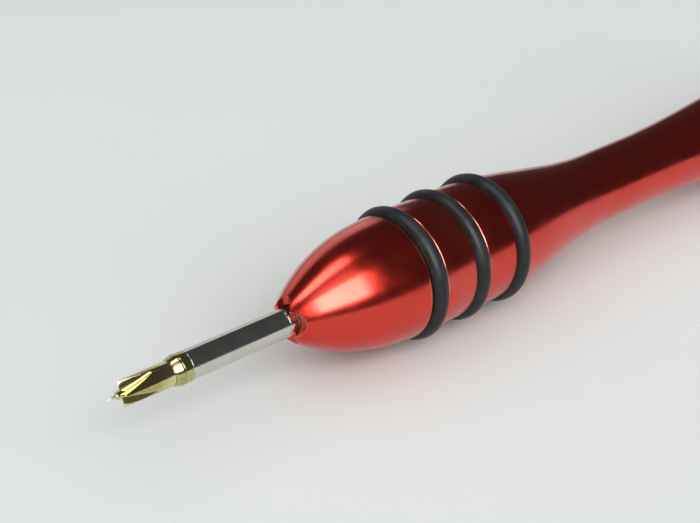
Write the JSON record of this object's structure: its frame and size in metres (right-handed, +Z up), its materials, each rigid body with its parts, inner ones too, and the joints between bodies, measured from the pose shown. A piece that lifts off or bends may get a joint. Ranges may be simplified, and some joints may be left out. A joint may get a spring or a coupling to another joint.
{
  "type": "pin vise drill",
  "caption": "Slim hand drill: red anodised handle with rubber grip rings, scalloped nose closing a collet on a fluted bit, spinning palm cap.",
  "frame": {"origin": "middle of the tool's length, straight below its axis, on the surface it lies on", "axes": "+X along the tool's axis towards the palm end, the bit pointing to -X; +Z up"},
  "size_m": [0.1036, 0.0134, 0.0116],
  "materials": {
    "red_anodised": "bright dipped and dyed red, glossy",
    "coated_cutter": "gold coloured hard coating, ground",
    "bright_steel": "ground and polished",
    "spring_steel": "turned, oil blacked",
    "bearing_steel": "polished",
    "cage_brass": "turned",
    "bare_aluminium": "fine turned, clear anodised",
    "ring_rubber": "moulded, slight sheen",
    "black_acetal": "moulded, satin"
  },
  "bodies": {
    "handle": {"handle_body": "red_anodised", "chuck_spindle": "spring_steel", "spindle_pin": "bright_steel", "o_ring_front": "ring_rubber", "o_ring_middle": "ring_rubber", "o_ring_rear": "ring_rubber", "anti_roll_collar": "black_acetal"},
    "collet": {"collet": "spring_steel"},
    "nose": {"nose_cap": "red_anodised"},
    "bit": {"bit_shank": "bright_steel", "shank_ferrule": "coated_cutter", "stop_collar": "coated_cutter", "cutter_head": "coated_cutter", "pilot_pin": "bright_steel"},
    "spare": {"spare_collet": "spring_steel"},
    "seal": {"plug_seal": "ring_rubber"},
    "plug": {"rear_plug": "bare_aluminium", "swivel_screw": "bright_steel", "thrust_race_front": "bearing_steel", "retaining_washer": "bright_steel"},
    "balls": {"thrust_balls": "bearing_steel", "ball_cage": "cage_brass"},
    "palm": {"swivel_cap": "red_anodised", "palm_disc": "bare_aluminium", "swivel_bush": "cage_brass", "thrust_race_rear": "bearing_steel"}
  },
  "joints": [
    {"name": "collet_release", "type": "slide", "parent": "handle", "child": "collet", "axis": [-1, 0, 0], "range_m": [0, 0.005]},
    {"name": "nose_unscrew", "type": "hinge", "parent": "collet", "child": "nose", "pos_m": [-0.03615, 0, 0.00582], "axis": [-1, 0, 0], "range_deg": [0, 3600]},
    {"name": "bit_draw", "type": "slide", "parent": "collet", "child": "bit", "axis": [-1, 0, 0], "range_m": [-0.0015, 0.019]},
    {"name": "spare_shift", "type": "slide", "parent": "handle", "child": "spare", "axis": [1, 0, 0], "range_m": [0, 0.002]},
    {"name": "plug_release", "type": "slide", "parent": "handle", "child": "seal", "axis": [1, 0, 0], "range_m": [0, 0.006]},
    {"name": "plug_unscrew", "type": "hinge", "parent": "seal", "child": "plug", "pos_m": [0.03985, 0, 0.00582], "axis": [1, 0, 0], "range_deg": [0, 4320]},
    {"name": "palm_spin", "type": "hinge", "parent": "plug", "child": "palm", "pos_m": [0.04415, 0, 0.00582], "axis": [1, 0, 0], "continuous": true},
    {"name": "ball_orbit", "type": "hinge", "parent": "plug", "child": "balls", "pos_m": [0.04245, 0, 0.00582], "axis": [1, 0, 0], "continuous": true}
  ],
  "couplings": [
    {"joint": "nose_unscrew", "follows": "collet_release", "rad_per_m": 12566},
    {"joint": "plug_unscrew", "follows": "plug_release", "rad_per_m": 12566},
    {"joint": "ball_orbit", "follows": "palm_spin", "ratio": 0.5}
  ]
}
